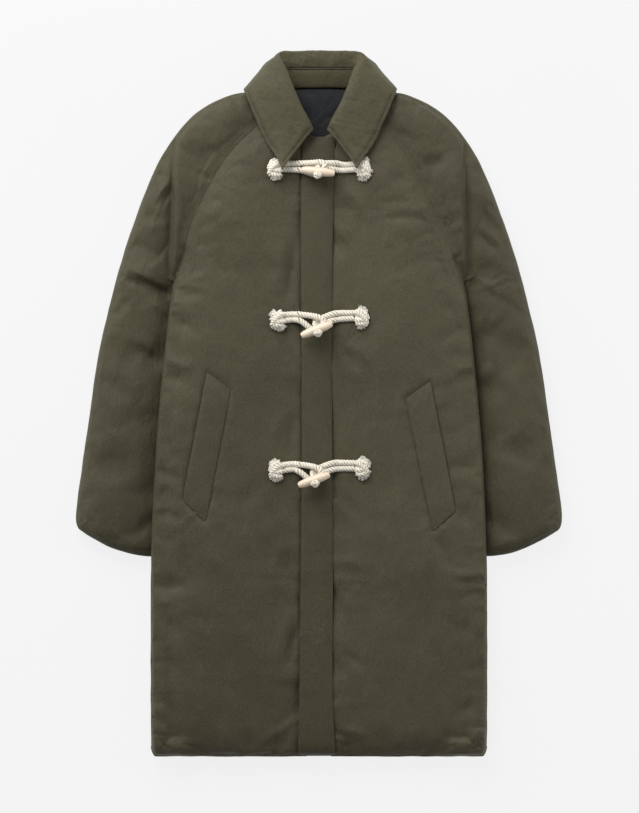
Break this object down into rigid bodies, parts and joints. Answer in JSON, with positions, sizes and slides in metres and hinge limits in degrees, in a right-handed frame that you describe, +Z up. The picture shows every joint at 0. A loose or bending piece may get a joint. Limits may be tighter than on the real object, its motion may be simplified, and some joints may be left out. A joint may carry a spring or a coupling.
{
  "type": "long down coat",
  "caption": "Knee-length padded coat laid flat, with a fold-down collar, raglan sleeves, a covered front, slanted pocket welts and rope-and-toggle fastenings.",
  "frame": {"origin": "middle of the base of the coat's box, on the surface that it lies on", "axes": "+X to the viewer's right, +Y from hem to collar, +Z up from the surface, out of the coat's front"},
  "size_m": [0.7796, 1.128, 0.0826],
  "materials": {
    "shell": "olive green woven shell over down padding, slight sheen",
    "collar_shell": "olive green woven shell, a little paler in the light",
    "lining": "dark plain lining",
    "rope": "natural three-strand cotton rope",
    "wood": "pale turned wood"
  },
  "bodies": {
    "root": {"back_panel": "shell", "front_left": "shell", "front_right": "shell", "placket": "shell", "sleeve_front_left": "shell", "sleeve_front_right": "shell", "sleeve_back_left": "shell", "sleeve_back_right": "shell", "welt_left": "shell", "welt_right": "shell", "collar_fall": "collar_shell", "collar_stand": "collar_shell", "back_lining": "lining", "loop_top": "rope", "cord_top": "rope", "toggle_knot_top": "rope", "knot_top_left": "rope", "knot_top_right": "rope", "toggle_top": "wood", "loop_middle": "rope", "cord_middle": "rope", "toggle_knot_middle": "rope", "knot_middle_left": "rope", "knot_middle_right": "rope", "toggle_middle": "wood", "loop_low": "rope", "cord_low": "rope", "toggle_knot_low": "rope", "knot_low_left": "rope", "knot_low_right": "rope", "toggle_low": "wood"}
  },
  "joints": []
}
